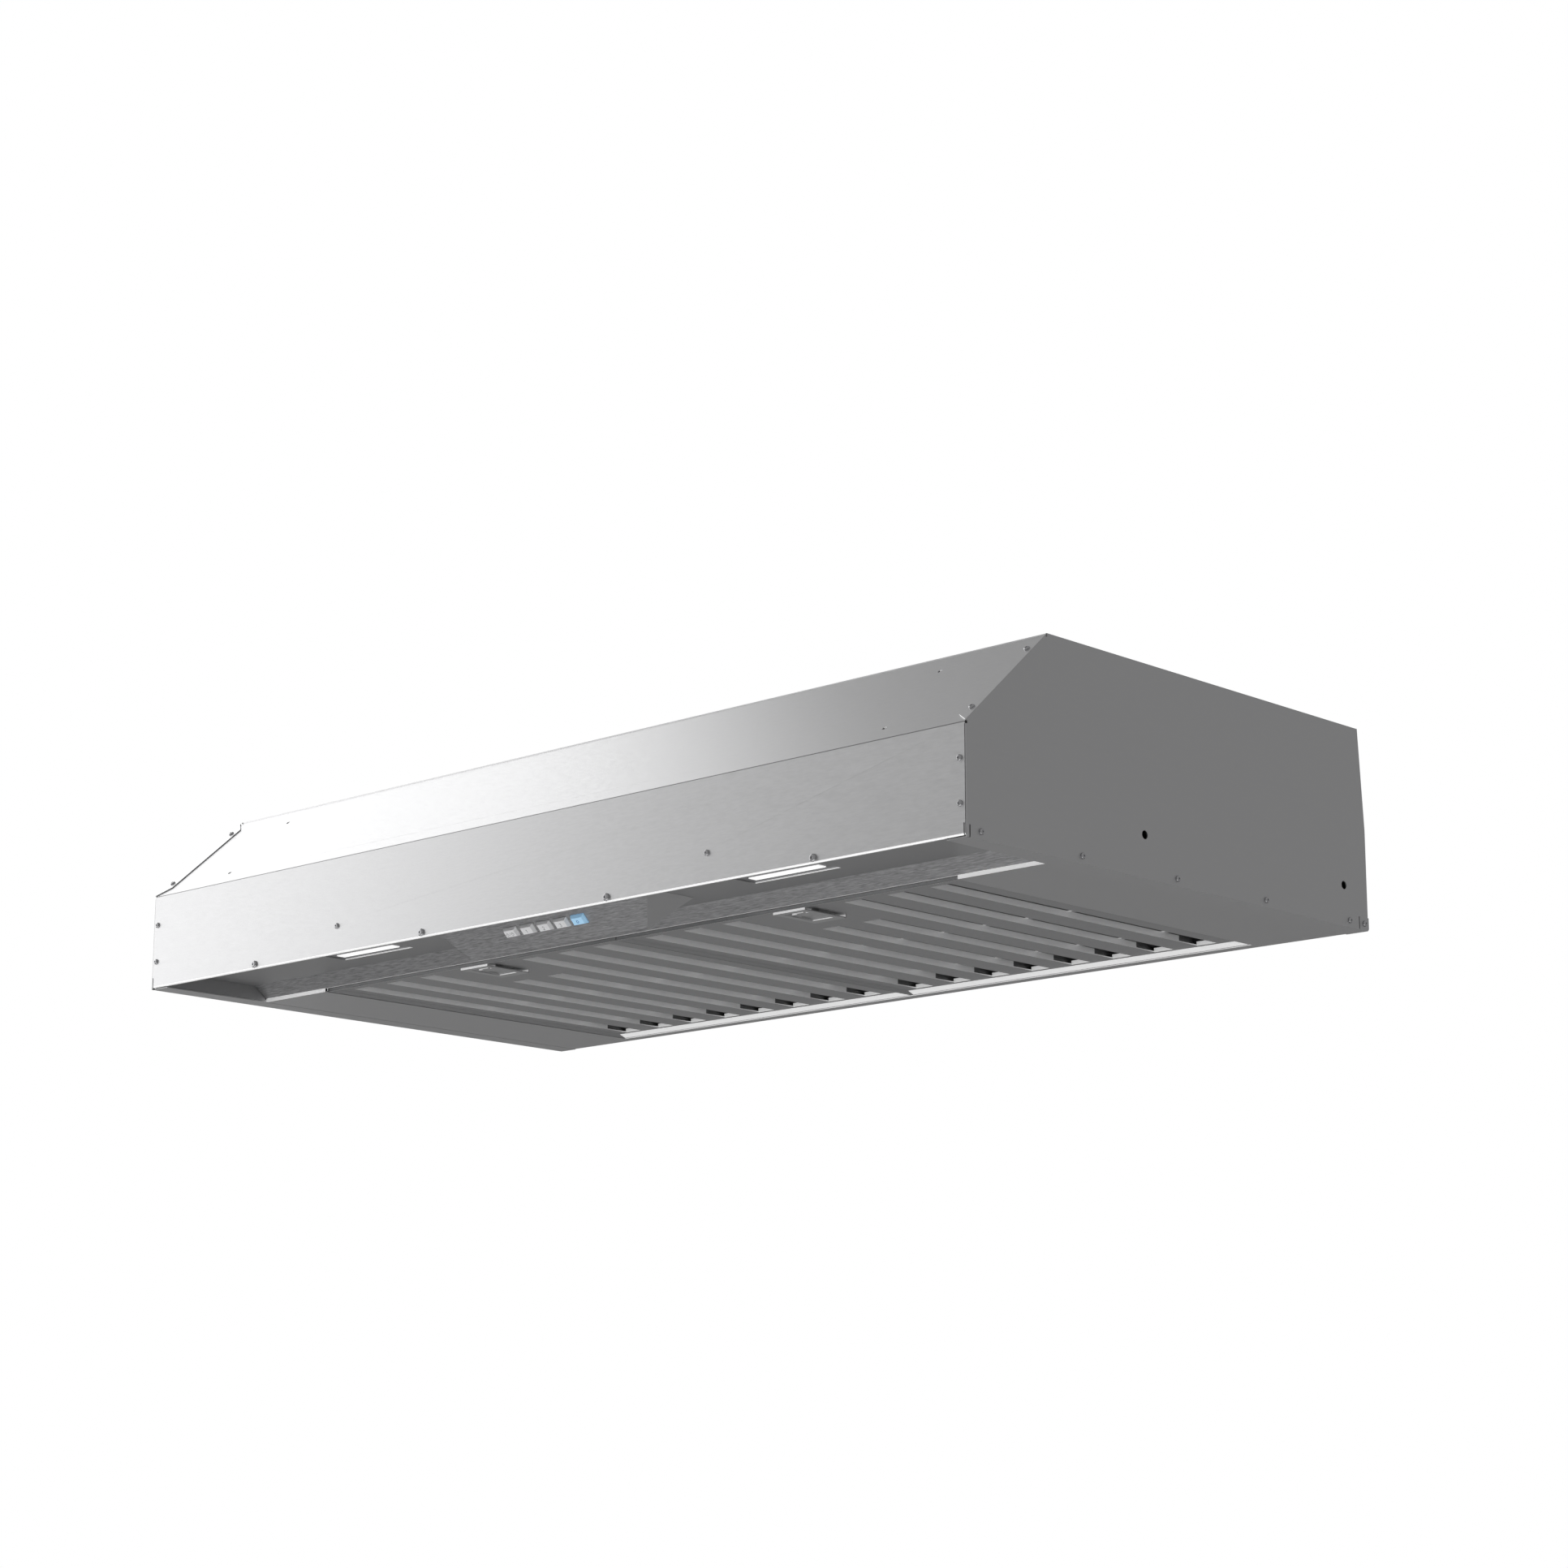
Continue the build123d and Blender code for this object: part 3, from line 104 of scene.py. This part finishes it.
def grain(material, shader, stretch, color, depth, rough, bump):
    """Noise stretched by the three scales of stretch drives colour, roughness and a slight bump."""
    nodes, links = material.node_tree.nodes, material.node_tree.links
    place = nodes.new("ShaderNodeTexCoord")
    mapping = nodes.new("ShaderNodeMapping")
    mapping.inputs["Scale"].default_value = stretch
    links.new(place.outputs["Object"], mapping.inputs["Vector"])
    noise = nodes.new("ShaderNodeTexNoise")
    noise.inputs["Scale"].default_value = 1.0
    noise.inputs["Detail"].default_value = 4.0
    noise.inputs["Roughness"].default_value = 0.6
    links.new(mapping.outputs["Vector"], noise.inputs["Vector"])
    ramp = nodes.new("ShaderNodeValToRGB")
    ramp.color_ramp.elements[0].position = 0.3
    ramp.color_ramp.elements[0].color = (*[c * (1 - depth) for c in color], 1)
    ramp.color_ramp.elements[1].position = 0.7
    ramp.color_ramp.elements[1].color = (*[min(1, c * (1 + depth)) for c in color], 1)
    links.new(noise.outputs["Fac"], ramp.inputs["Fac"])
    links.new(ramp.outputs["Color"], shader.inputs["Base Color"])
    spread = nodes.new("ShaderNodeMapRange")
    spread.inputs["From Min"].default_value = 0.3
    spread.inputs["From Max"].default_value = 0.7
    spread.inputs["To Min"].default_value = rough[0]
    spread.inputs["To Max"].default_value = rough[1]
    links.new(noise.outputs["Fac"], spread.inputs["Value"])
    links.new(spread.outputs["Result"], shader.inputs["Roughness"])
    if bump:
        relief = nodes.new("ShaderNodeBump")
        relief.inputs["Strength"].default_value = bump
        relief.inputs["Distance"].default_value = 0.0001
        links.new(noise.outputs["Fac"], relief.inputs["Height"])
        links.new(relief.outputs["Normal"], shader.inputs["Normal"])


def brushed_steel(name, color, stretch=(6, 500, 500), depth=0.07, rough=(0.3, 0.42), bump=0.25):
    material, shader = new_material(name, color, 1.0, 0.35)
    grain(material, shader, stretch, color, depth, rough, bump)
    return material


def crease(material, height):
    """Darkens a hairline at the height of a bend, where the sheet turns away from the light."""
    nodes, links = material.node_tree.nodes, material.node_tree.links
    shader = nodes["Principled BSDF"]
    color = shader.inputs["Base Color"].links[0].from_socket
    place = nodes.new("ShaderNodeTexCoord")
    parts = nodes.new("ShaderNodeSeparateXYZ")
    links.new(place.outputs["Object"], parts.inputs["Vector"])
    below = nodes.new("ShaderNodeMath")
    below.operation = "SUBTRACT"
    below.inputs[1].default_value = height
    links.new(parts.outputs["Z"], below.inputs[0])
    away = nodes.new("ShaderNodeMath")
    away.operation = "ABSOLUTE"
    links.new(below.outputs["Value"], away.inputs[0])
    shade = nodes.new("ShaderNodeMapRange")
    shade.inputs["From Min"].default_value = 0.25 * MM
    shade.inputs["From Max"].default_value = 0.6 * MM
    shade.inputs["To Min"].default_value = 0.35
    shade.inputs["To Max"].default_value = 1.0
    links.new(away.outputs["Value"], shade.inputs["Value"])
    mix = nodes.new("ShaderNodeVectorMath")
    mix.operation = "SCALE"
    links.new(color, mix.inputs[0])
    links.new(shade.outputs["Result"], mix.inputs["Scale"])
    links.new(mix.outputs["Vector"], shader.inputs["Base Color"])


def bend_height(node):
    """Height at which the front panel's upright face ends and its slope begins."""
    corners = [v.co for v in node.data.vertices]
    front = min(c.y for c in corners)
    return max(c.z for c in corners if c.y - front < 0.1 * MM)


def zinc_plate(name, color):
    material, shader = new_material(name, color, 0.85, 0.5)
    grain(material, shader, (60, 60, 60), color, 0.12, (0.4, 0.6), 0.1)
    return material


def plastic(name, color, rough=(0.35, 0.45), scale=900, depth=0.03, bump=0.05):
    material, shader = new_material(name, color, 0.0, rough[0])
    grain(material, shader, (scale, scale, scale), color, depth, rough, bump)
    return material


def glowing(material, color, strength):
    shader = material.node_tree.nodes["Principled BSDF"]
    shader.inputs["Emission Color"].default_value = (*color, 1)
    shader.inputs["Emission Strength"].default_value = strength
    return material


def make_materials():
    return {
        "shell": brushed_steel("shell_steel", (0.6, 0.6, 0.605), (130, 800, 800), 0.04,
                               (0.34, 0.42), 0.12),
        "front": brushed_steel("front_steel", (0.6, 0.6, 0.605), (130, 800, 800), 0.04,
                               (0.34, 0.42), 0.12),
        "trim": brushed_steel("trim_steel", (0.28, 0.28, 0.285), (110, 1000, 1000), 0.35,
                              (0.42, 0.52), 0.2),
        "channel": brushed_steel("channel_steel", (0.36, 0.36, 0.365), (60, 300, 300), 0.03,
                                 (0.44, 0.5), 0.03),
        "side": brushed_steel("side_steel", (0.46, 0.46, 0.465), (300, 60, 300), 0.02,
                              (0.44, 0.5), 0.03),
        "under": brushed_steel("under_steel", (0.45, 0.45, 0.455), (300, 60, 300), 0.02,
                               (0.42, 0.48), 0.03),
        "filter": brushed_steel("filter_steel", (0.35, 0.35, 0.355), (300, 60, 300), 0.02,
                                (0.42, 0.48), 0.03),
        # Painted highlight: near-white steel that also glows, laid on faces that turn to the front
        # and on rounded bends, where the light catches them.
        "painted_highlight": glowing(brushed_steel("painted_highlight_steel", (0.95, 0.95, 0.95), (130, 800, 800),
                                      0.02, (0.5, 0.56), 0), (1, 1, 1), 0.35),
        # Painted light: pale steel with a faint glow, lightening the side walls of the filter slots
        # and the downward faces of the front rail.
        "painted_light_wall": glowing(brushed_steel("painted_light_wall_steel", (0.9, 0.9, 0.905), (300, 60, 300),
                                           0.02, (0.5, 0.56), 0), (1, 1, 1), 0.075),
        "screw": brushed_steel("screw_steel", (0.42, 0.42, 0.43), (900, 900, 900), 0.05,
                               (0.2, 0.3), 0),
        "zinc": zinc_plate("zinc_plate", (0.5, 0.51, 0.53)),
        "bright": brushed_steel("ground_steel", (0.7, 0.7, 0.7), (300, 300, 300), 0.03,
                                (0.15, 0.25), 0),
        "casting": zinc_plate("motor_casing", (0.6, 0.61, 0.62)),
        "bronze": brushed_steel("bearing_bronze", (0.6, 0.42, 0.2), (300, 300, 300), 0.08,
                                (0.3, 0.4), 0),
        "black": plastic("black_plastic", (0.03, 0.03, 0.032), (0.45, 0.6)),
        "board": plastic("circuit_board", (0.03, 0.17, 0.07), (0.3, 0.4)),
        "lamp_body": plastic("lamp_housing", (0.16, 0.16, 0.165)),
        "lamp_lens": glowing(plastic("lamp_lens", (0.92, 0.92, 0.92)), (1, 1, 1), 0.6),
        "button": plastic("button_white", (0.9, 0.9, 0.91)),
        "lit": glowing(plastic("button_lit", (0.42, 0.68, 0.9)), (0.35, 0.65, 0.95), 0.25),
        "ink": plastic("grey_ink", (0.12, 0.12, 0.13), (0.5, 0.6)),
        "blue_ink": plastic("blue_ink", (0.04, 0.2, 0.4), (0.5, 0.6)),
    }


# The first entry that a node's name starts with gives its look.
LOOKS = (
    ("side_panel", "side"), ("front_panel", "front"), ("top_panel", "shell"),
    ("rear_panel", "shell"), ("light_channel", "channel"), ("front_rail", "trim"),
    ("control_housing", "trim"), ("bottom_pan", "under"), ("channel_ends", "channel"),
    ("filter_", "filter"), ("latch_spring", "bright"), ("latch_", "under"), ("blower_", "zinc"),
    ("front_braces", "zinc"), ("capacitor_strap", "zinc"), ("wiring_", "zinc"),
    ("duct_collar", "zinc"), ("damper_", "zinc"), ("motor_bracket", "zinc"),
    ("impeller_", "black"), ("motor_body", "casting"), ("motor_shaft", "bright"),
    ("motor_bearings", "bronze"), ("capacitor", "casting"), ("lamp_lens", "lamp_lens"),
    ("lamp_body", "lamp_body"), ("button_light", "lit"), ("button_", "button"),
    ("switch_board", "board"), ("speed_board", "board"), ("switches", "black"),
    ("cable_bushing", "black"), ("led_driver", "black"),
)


# Faces of a node whose cosine to this direction is above the given one take a second look. Most of
# these second looks are painted light: near-white glowing steel is a painted highlight on faces
# that turn to the front, pale faintly glowing steel is painted light on slot walls and the rail's
# underside, and lighter steel is painted light on the housing's right hip face.
FACING = (
    ("bottom_pan", (0, -1, 0), 0.8, "painted_highlight"), ("latch_", (0, -1, 0), 0.8, "painted_highlight"),
    ("front_panel", (0, -0.707, -0.707), 0.75, "painted_highlight"),
    ("side_panel", (0, -0.662, 0.749), 0.95, "shell"),
    ("side_panel_right", (-0.67, -0.56, -0.5), 0.97, "painted_highlight"),
    ("front_rail", (0, 0, -1), 0.97, "painted_light_wall"), ("light_channel", (0, -1, 0), 0.8, "painted_highlight"),
    # Painted light: the housing's right hip face takes the lighter underside steel, so it reads
    # brighter than the rest of the housing.
    ("control_housing", (0.707, 0, -0.707), 0.9, "under"),
    ("filter_face", (0, -1, 0), 0.12, "painted_highlight"), ("filter_face", (1, 0, 0), 0.8, "painted_light_wall"),
    ("filter_face", (-1, 0, 0), 0.8, "painted_light_wall"),
)


def look_of(node):
    if node.endswith("_screws"):
        return "screw"
    return next(look for start, look in LOOKS if node.startswith(start))


def dress_faces(name, mesh, materials):
    """Second looks on the faces that FACING names."""
    for start, way, limit, look in FACING:
        if not name.startswith(start):
            continue
        mesh.materials.append(materials[look])
        for face in mesh.polygons:
            if face.normal.dot(Vector(way)) > limit:
                face.material_index = len(mesh.materials) - 1


def dress(nodes, materials):
    """Materials on every CAD node, and softened edges that catch the light."""
    for name, node in nodes.items():
        node.data.materials.clear()
        node.data.materials.append(materials[look_of(name)])
        dress_faces(name, node.data, materials)
        bevel = node.modifiers.new("edges", "BEVEL")
        bevel.width = EDGE_WIDTH
        bevel.segments = 2
        bevel.limit_method = "ANGLE"
        bevel.angle_limit = math.radians(EDGE_ANGLE)
        bevel.harden_normals = False


# ---- marks on the buttons -----------------------------------------------------------------
def button_face(node):
    """Centre of a button's outer face."""
    corners = [v.co for v in node.data.vertices]
    reach = max(c.dot(SLOPE_OUT) for c in corners)
    face = [c for c in corners if reach - c.dot(SLOPE_OUT) < 0.05 * MM]
    return sum(face, Vector()) / len(face)


def on_face(obj, centre, body, material, lift=0.03):
    """Lays a flat mark, drawn in x and y, on a button's face, lift millimetres above it."""
    basis = Matrix((Vector((1, 0, 0)), SLOPE_UP, SLOPE_OUT)).transposed().to_4x4()
    obj.matrix_world = Matrix.Translation(centre + SLOPE_OUT * lift * MM) @ basis
    bpy.context.scene.collection.objects.link(obj)
    obj.data.materials.append(material)
    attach(obj, body)


def mesh_from(name, rings):
    """A flat mesh from closed outlines given as lists of (x, y) in millimetres."""
    vertices, faces = [], []
    for quad in rings:
        start = len(vertices)
        vertices += [(x * MM, y * MM, 0) for x, y in quad]
        faces.append(tuple(range(start, start + len(quad))))
    mesh = bpy.data.meshes.new(name)
    mesh.from_pydata(vertices, [], faces)
    return bpy.data.objects.new(name, mesh)


def arc_band(x, y, radius, width, start, end, steps=24):
    """Quads that make part of a ring, from start to end in degrees."""
    quads = []
    for i in range(steps):
        a = math.radians(start + (end - start) * i / steps)
        b = math.radians(start + (end - start) * (i + 1) / steps)
        inner, outer = radius - width / 2, radius + width / 2
        quads.append([(x + inner * math.cos(a), y + inner * math.sin(a)),
                      (x + outer * math.cos(a), y + outer * math.sin(a)),
                      (x + outer * math.cos(b), y + outer * math.sin(b)),
                      (x + inner * math.cos(b), y + inner * math.sin(b))])
    return quads


def stroke(x0, y0, x1, y1, width):
    """One straight line as a quad."""
    along = Vector((x1 - x0, y1 - y0)).normalized() * width / 2
    u, v = -along.y, along.x
    return [(x0 + u, y0 + v), (x0 - u, y0 - v), (x1 - u, y1 - v), (x1 + u, y1 + v)]


# Corners of each numeral's lines, in millimetres from the middle of its button.
NUMERALS = {
    "button_speed_1": [[(-0.6, 0.9), (0.1, 1.5), (0.1, -1.5)]],
    "button_speed_2": [[(-0.9, 0.8), (-0.6, 1.35), (0.0, 1.55), (0.6, 1.3), (0.85, 0.7), (0.6, 0.1),
                        (-0.95, -1.5), (0.95, -1.5)]],
    "button_speed_3": [[(-0.85, 1.0), (-0.4, 1.45), (0.2, 1.5), (0.7, 1.15), (0.7, 0.5), (0.2, 0.1),
                        (-0.2, 0.1)],
                       [(0.2, 0.1), (0.8, -0.35), (0.8, -1.0), (0.3, -1.45), (-0.4, -1.45),
                        (-0.9, -1.0)]],
}


def draw_numerals(nodes, material):
    for name, lines in NUMERALS.items():
        quads = [stroke(*a, *b, NUMERAL_LINE) for line in lines for a, b in zip(line, line[1:])]
        moved = [[(x, y - NUMERAL_DROP) for x, y in quad] for quad in quads]
        on_face(mesh_from(name + "_numeral", moved), button_face(nodes[name]), name, material)


def draw_power(nodes, material):
    """Power sign, a slash and a small timer dial."""
    y = -NUMERAL_DROP
    quads = arc_band(-2.9, y, 1.25, 0.3, -235, 55)
    quads.append(stroke(-2.9, y, -2.9, y + 1.5, 0.3))
    quads.append(stroke(-0.55, y - 1.5, 0.25, y + 1.5, 0.26))
    quads += arc_band(2.7, y, 1.25, 0.3, 0, 360)
    quads.append(stroke(2.7, y, 2.7, y + 0.85, 0.26))
    quads.append(stroke(2.7, y, 3.35, y, 0.26))
    on_face(mesh_from("button_power_mark", quads), button_face(nodes["button_power"]),
            "button_power", material)


def draw_sun(nodes, material):
    """Ring with eight rays."""
    y = -0.5
    quads = arc_band(0, y, 0.95, 0.42, 0, 360)
    for i in range(8):
        a = math.radians(45 * i)
        quads.append(stroke(1.25 * math.cos(a), y + 1.25 * math.sin(a),
                            1.7 * math.cos(a), y + 1.7 * math.sin(a), 0.36))
    on_face(mesh_from("button_light_mark", quads), button_face(nodes["button_light"]),
            "button_light", material)


# ---- floor --------------------------------------------------------------------------------
def make_floor():
    """A plain pale floor well below the hood."""
    mesh = bpy.data.meshes.new("floor")
    corners = [(x * FLOOR_REACH, y * FLOOR_REACH, FLOOR_LEVEL)
               for x, y in ((-1, -1), (1, -1), (1, 1), (-1, 1))]
    mesh.from_pydata(corners, [], [(0, 1, 2, 3)])
    floor = bpy.data.objects.new("floor", mesh)
    bpy.context.scene.collection.objects.link(floor)
    material, shader = new_material("floor_paint", FLOOR_COLOR, 0.0, 0.8)
    grain(material, shader, (40, 40, 40), FLOOR_COLOR, 0.02, (0.7, 0.85), 0)
    mesh.materials.append(material)


make_camera()
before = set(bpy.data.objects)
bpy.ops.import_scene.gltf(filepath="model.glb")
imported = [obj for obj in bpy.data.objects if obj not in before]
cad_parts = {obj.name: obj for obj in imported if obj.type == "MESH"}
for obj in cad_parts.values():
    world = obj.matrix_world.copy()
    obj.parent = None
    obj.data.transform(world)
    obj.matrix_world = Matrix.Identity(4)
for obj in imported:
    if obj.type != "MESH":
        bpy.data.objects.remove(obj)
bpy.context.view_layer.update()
bpy.context.scene.view_settings.view_transform = "Standard"
make_world()
for light in LIGHTS:
    make_light(*light)
make_floor()
materials = make_materials()
crease(materials["front"], bend_height(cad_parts["front_panel"]))
dress(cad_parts, materials)
draw_numerals(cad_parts, materials["ink"])
draw_power(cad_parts, materials["ink"])
draw_sun(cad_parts, materials["blue_ink"])
